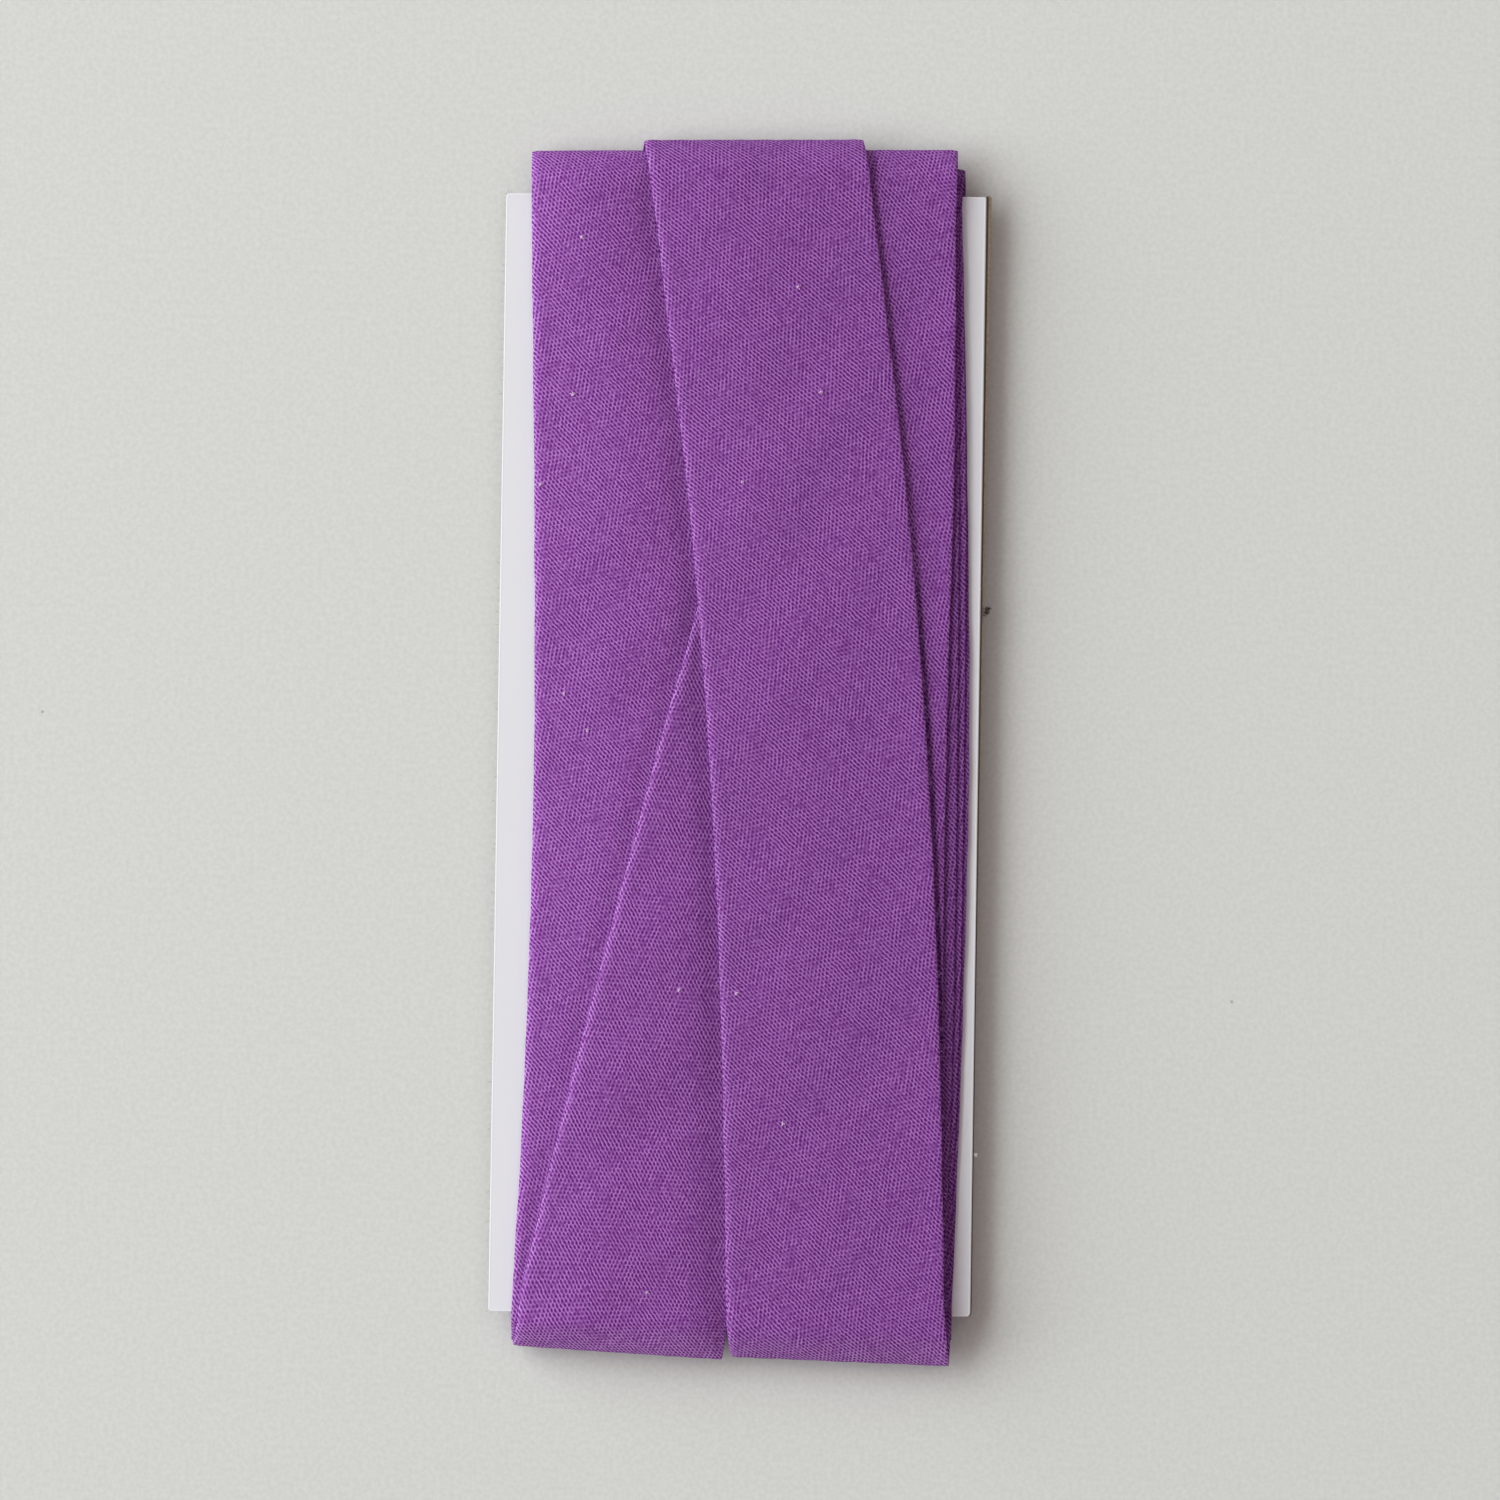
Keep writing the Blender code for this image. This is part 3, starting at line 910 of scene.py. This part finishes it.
def makeCard():
    # the right side was cut on a slant, so its plies show, most of all at the top
    outline, outward = cardOutline()
    count = len(outline)
    draw = np.random.default_rng(5)
    ragged = draw.uniform(-1, 1, count + 4)
    ragged = np.convolve(ragged, np.ones(5) / 5, "valid") * 2 * card["ragged"]
    right = np.clip((outward[:, 0] - 0.5) / 0.4, 0, 1)
    leanFrom, leanRun = card["leanFrom"]
    high = right * np.clip((outline[:, 1] - leanFrom) / leanRun, 0, 1)
    low, top = card["darkLean"]
    dark, core = low * right + (top - low) * high, card["coreLean"] * high
    levels = (
        (cardFace, -0.24 + 0 * right), (cardFace + card["burr"], -0.08 + 0 * right),
        (cardFace - 0.01, 0 * right), (cardFace - card["liner"], 0.01 + 0.02 * right),
        (cardFace - card["dark"], dark), (cardFace - 0.4, dark + core + ragged * 0.6),
        (cardBack + 0.2, dark + core * 1.15 + ragged), (cardBack + 0.04, dark + core * 1.1),
        (cardBack, dark + core - 0.05),
    )
    rings = []
    for height, out in levels:
        ring = np.zeros((count, 3))
        ring[:, :2] = outline + outward * out[:, None]
        ring[:, 1] += cardPlace
        ring[:, 2] = height
        rings.append(ring)
    points = np.concatenate(rings) * mm
    faces = [tuple(range(count)), tuple(range(len(points) - 1, len(points) - 1 - count, -1))]
    for level in range(len(levels) - 1):
        for i in range(count):
            j = (i + 1) % count
            upper, lower = level * count, (level + 1) * count
            faces.append((upper + j, upper + i, lower + i, lower + j))
    mesh = bpy.data.meshes.new("card_board")
    mesh.from_pydata(points.tolist(), [], faces)
    mesh.materials.append(makeBoard())
    return addObject("card_board", mesh)


print("cutting the board")
board = makeCard()


# Loose fibres: knots of lint on the cloth, fuzz along the folds, and the board's torn fibres

fluff = {
    # strands at a seed, their length and thickness, how far apart, how tangled, colour
    "lint": (26, 0.24, 0.032, 0.08, 1.6, (0.92, 0.68, 0.95)),
    "fuzz": (2, 0.50, 0.007, 0.10, 0.7, (0.50, 0.25, 0.60)),
    "torn": (3, 0.30, 0.010, 0.12, 0.6, (0.42, 0.36, 0.28)),
    "scuff": (6, 0.45, 0.030, 0.16, 0.9, (0.060, 0.038, 0.028)),
    "flake": (9, 0.26, 0.040, 0.10, 0.8, (0.80, 0.79, 0.80)),
}
# knots that show on each turn, measured on the board's face
lintPlaces = (
    ("lane", -19.7, 41.1), ("lane", -23.3, 30.7), ("lane", -20.2, 6.7), ("lane", -17.4, 2.5),
    ("cross", -6.35, -27.2), ("cross", -9.5, -62.0), ("last", 6.1, 53.8), ("last", 0.0, 31.3),
    ("last", 0.2, -27.5), ("last", 5.8, -42.4), ("lane", -18.9, 59.2), ("last", 8.9, 41.8),
)
scuffPlace = (28.3, 17.0)
flakePlace = (27.95, -45.7)
fuzzAlong = (("last", -1, 130), ("last", 1, 130), ("cross", -1, 90))   # turn, side, count
seedCount = {"torn": 220, "scuff": 12, "flake": 2}


def makeFluffTree():
    # a few curled strands at each seed point, which lean the way its "aim" says
    graph, size = newTree("looseFibres", {
        "Strands": "Int", "Length": "Float", "Thickness": "Float", "Spread": "Float",
        "Scatter": "Float", "Seed": "Int", "Material": "Material",
    })
    points = graph.node("GeometryNodeMeshToPoints", None, {"Mesh": size["Geometry"]})
    points = graph.node("GeometryNodeDuplicateElements", {"domain": "POINT"}, {
        "Geometry": points, "Amount": size["Strands"],
    })

    def chance(kind, low, high, shift):
        settings = {"data_type": kind}
        sockets = (0, 1) if kind == "FLOAT_VECTOR" else (2, 3)
        return graph.node("FunctionNodeRandomValue", settings, {
            sockets[0]: low, sockets[1]: high, "Seed": size["Seed"] + shift,
        }, out=0 if kind == "FLOAT_VECTOR" else 1)

    def anyWay(length, shift):
        return scaled(graph, chance("FLOAT_VECTOR", (-1, -1, -1), (1, 1, 1), shift), length)

    points = graph.node("GeometryNodeSetPosition", None, {
        "Geometry": points, "Offset": anyWay(size["Spread"], 1),
    })
    aim = graph.node("ShaderNodeVectorMath", {"operation": "ADD"}, {
        0: stored(graph, "aim", "FLOAT_VECTOR"), 1: anyWay(size["Scatter"], 2),
    })
    roll = graph.node("FunctionNodeAlignRotationToVector", {"axis": "X"}, {
        "Rotation": chance("FLOAT_VECTOR", (0, 0, 0), (6.28, 0, 0), 3), "Vector": aim,
    })
    strand = graph.node("GeometryNodeCurveQuadraticBezier", None, {
        "Resolution": 5, "Start": (0, 0, 0), "Middle": (0.55, 0.35, 0), "End": (1, -0.05, 0.1),
    })
    ring = graph.node("GeometryNodeCurvePrimitiveCircle", None, {
        "Resolution": 3, "Radius": size["Thickness"] / size["Length"],
    })
    strand = graph.node("GeometryNodeCurveToMesh", None, {
        "Curve": strand, "Profile Curve": ring, "Fill Caps": True,
    })
    placed = graph.node("GeometryNodeInstanceOnPoints", None, {
        "Points": points, "Instance": strand, "Rotation": roll,
        "Scale": size["Length"] * chance("FLOAT", 0.5, 1.25, 4),
    })
    return endTree(graph, placed, size["Material"])


def growFluff(name, kind, seeds, seed):
    # seeds are places with the way that their strands lean
    strands, length, thick, spread, scatter, colour = fluff[kind]
    host = bpy.data.meshes.new(name + "_seeds")
    host.from_pydata([tuple(v * mm for v in place) for place, aim in seeds], [], [])
    aims = host.attributes.new("aim", "FLOAT_VECTOR", "POINT")
    aims.data.foreach_set("vector", [v for place, aim in seeds for v in aim])
    piece = addObject(name, host)
    material = newMaterial(name + "_fibre", {
        "Base Color": (*colour, 1.0), "Roughness": 0.9, "Specular IOR Level": 0.2,
    })[0]
    growPiece(piece, fluffTree, {
        "Strands": strands, "Length": length * mm, "Thickness": thick * mm,
        "Spread": spread * mm, "Scatter": scatter, "Seed": seed, "Material": material,
    })
    return piece


def faceAt(kind, x, y):
    # height of a front turn's face
    index = [turn["kind"] for turn in frontTurns].index(kind)
    if kind == "lane":
        index += 2                     # the uppermost of the three
    return sampleField(faceFields[index], fieldX, fieldY, np.array([x]), np.array([y]))[0]


def lintSeeds():
    return [
        ((x, y + cardPlace, faceAt(kind, x, y) + 0.08), (0, 0, 0.4))
        for kind, x, y in lintPlaces
    ]


def fuzzSeeds(draw):
    # along both folds of the last turn, and the left fold of the turn that crosses
    seeds = []
    for kind, side, count in fuzzAlong:
        turn = next(turn for turn in frontTurns if turn["kind"] == kind)
        for y in draw.uniform(-64, 64 if kind == "last" else 12, count):
            middle, half = turnMiddle(turn, np.array([y, y + 0.1]))
            x = middle[0] + side * (half[0] - 0.05)
            z = faceAt(kind, x, y) - draw.uniform(0.12, 0.34)
            seeds.append(((x, y + cardPlace, z), (side, 0, 0.3)))
    return seeds


def tornSeeds(draw):
    outline, outward = cardOutline()
    seeds = []
    for k in draw.choice(len(outline), seedCount["torn"], replace=False):
        (x, y), (outX, outY) = outline[k], outward[k]
        z = draw.uniform(cardBack + 0.1, cardFace - 0.12)
        seeds.append(((x + 0.1 * outX, y + 0.1 * outY + cardPlace, z), (outX, outY, -0.2)))
    return seeds


# The studio

studio = {
    "floorColour": (0.653, 0.674, 0.650),
    "speckColour": (0.45, 0.44, 0.41),
    "grain": (1900.0, 0.045),          # of the paper: its scale, and how light and dark
    "specks": (75.0, 0.010, 0.018),    # their scale, and where each one ends
    "keyPlace": (-1.80, 0.50, 1.20),
    "keySize": (3.3, 2.5),             # along the floor, and up
    "keyPower": 89.5,
    "keyColour": (0.957, 1.0, 1.0),
    "fillPlace": (0.15, 0.35, 2.2),
    "fillSize": (2.2, 2.2),
    "fillPower": 9.5,
    "fillColour": (1.0, 0.855, 0.83),
    "domeLight": 0.235,                # its colour is the fill light's
    "pictureSide": 1500,               # pixels
    "scale": 8.68,                     # pixels to a millimetre on the board's face
    "aim": (1.35, 0.08),               # what lies in the middle of the picture
    "roll": 0.9,                       # the board leans this many degrees
    "distance": 1.3,
}


def makeStudio():
    material, graph, shader = newMaterial("palePaper", {
        "Roughness": 0.9, "Specular IOR Level": 0.2,
    })
    place = graph.node("ShaderNodeTexCoord", None, None, out=3)
    scale, depth = studio["grain"]
    grain = noise(graph, place, scale, 3.0)
    scale, inner, rim = studio["specks"]
    speck = graph.node("ShaderNodeTexVoronoi", {"feature": "F1"}, {
        "Vector": place, "Scale": scale,
    })
    low, high = (tuple(k * c for c in studio["floorColour"]) for k in (1 - depth, 1 + depth))
    paper = mixColour(graph, grain.rise(0.25, 0.75), low, high)
    paper = mixColour(graph, speck.rise(inner, rim), studio["speckColour"], paper)
    plug(graph, shader, Base_Color=paper)
    mesh = bpy.data.meshes.new("floor")
    far, down = 1.5, -0.05 * mm        # just under the tail's small puckers
    mesh.from_pydata(
        [(-far, -far, down), (far, -far, down), (far, far, down), (-far, far, down)],
        [], [(0, 1, 2, 3)])
    mesh.materials.append(material)
    floor = addObject("floor", mesh)

    world = bpy.data.worlds.new("studioDome")
    world.use_nodes = True
    background = world.node_tree.nodes["Background"]
    background.inputs["Color"].default_value = (*studio["fillColour"], 1.0)
    background.inputs["Strength"].default_value = studio["domeLight"]
    bpy.context.scene.world = world

    for name in ("key", "fill"):
        lamp = bpy.data.lights.new(name + "Light", "AREA")
        lamp.shape = "RECTANGLE"
        lamp.size, lamp.size_y = studio[name + "Size"]
        lamp.energy = studio[name + "Power"]
        lamp.color = studio[name + "Colour"]
        panel = addObject(name + "Light", lamp)
        panel.location = studio[name + "Place"]
        panel.rotation_mode = "QUATERNION"
        panel.rotation_quaternion = panel.location.to_track_quat("Z", "Y")

    lens = bpy.data.cameras.new("camera")
    across = studio["pictureSide"] / studio["scale"] * mm
    height = studio["distance"] + cardFace * mm
    lens.sensor_width = 36.0
    lens.lens = 36.0 * studio["distance"] / across
    lens.clip_start, lens.clip_end = 0.05, 10.0
    camera = addObject("camera", lens)
    camera.location = (studio["aim"][0] * mm, studio["aim"][1] * mm, height)
    camera.rotation_euler = (0, 0, math.radians(studio["roll"]))
    bpy.context.scene.camera = camera
    bpy.context.scene.view_settings.view_transform = "Standard"


print("scattering loose fibres")
draw = np.random.default_rng(23)
fluffTree = makeFluffTree()
x, y = scuffPlace
scuffSeeds = [
    ((x + draw.uniform(-0.35, 0.35), y + draw.uniform(-0.5, 0.5) + cardPlace, cardFace - 0.25),
     (1, 0.1, 0))
    for step in range(seedCount["scuff"])
]
x, y = flakePlace
flakeSeeds = [((x + 0.05, y + cardPlace, cardFace - 0.03), (1, 0.2, 0.2))] * seedCount["flake"]
onCloth = [
    growFluff("lint_knots", "lint", lintSeeds(), 3),
    growFluff("fold_fuzz", "fuzz", fuzzSeeds(draw), 5),
]
onBoard = [
    growFluff("card_fibres", "torn", tornSeeds(draw), 7),
    growFluff("card_scuff", "scuff", scuffSeeds, 9),
    growFluff("card_flake", "flake", flakeSeeds, 11),
]

print("lighting the studio")
makeStudio()

for piece in turns:
    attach(piece, "root")
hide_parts("binding")
for piece in [board] + onBoard:
    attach(piece, "root")
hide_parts("card")
for piece in onCloth:
    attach(piece, "root")
